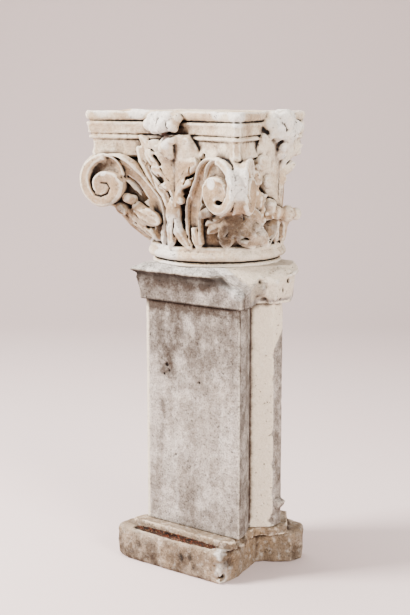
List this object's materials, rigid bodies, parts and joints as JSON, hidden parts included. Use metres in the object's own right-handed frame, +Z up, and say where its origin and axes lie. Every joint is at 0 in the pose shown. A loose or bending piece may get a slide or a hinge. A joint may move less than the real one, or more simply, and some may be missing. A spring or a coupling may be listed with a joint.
{
  "type": "corinthian capital on a stone pier stub",
  "caption": "Weathered stone corner capital with volutes, leaves and a concave-sided abacus, cut flat behind, resting on a stub of a moulded pier with its base.",
  "frame": {"origin": "on the ground under the capital's axis, on the underside of the base", "axes": "+Z up, front carved face towards -Y, flat cut back towards +Y, +X to the right seen from the front"},
  "size_m": [0.492, 0.341, 1.1],
  "materials": {
    "carved_stone": "weathered pale limestone, dark in the hollows, white where it is chipped",
    "pier_stone": "grey weathered limestone, dragged and stained",
    "base_stone": "rough beige limestone with rusty moss in its groove"
  },
  "bodies": {
    "root": {"capital": "carved_stone", "pedestal_shaft": "pier_stone", "pedestal_base": "base_stone"}
  },
  "joints": []
}
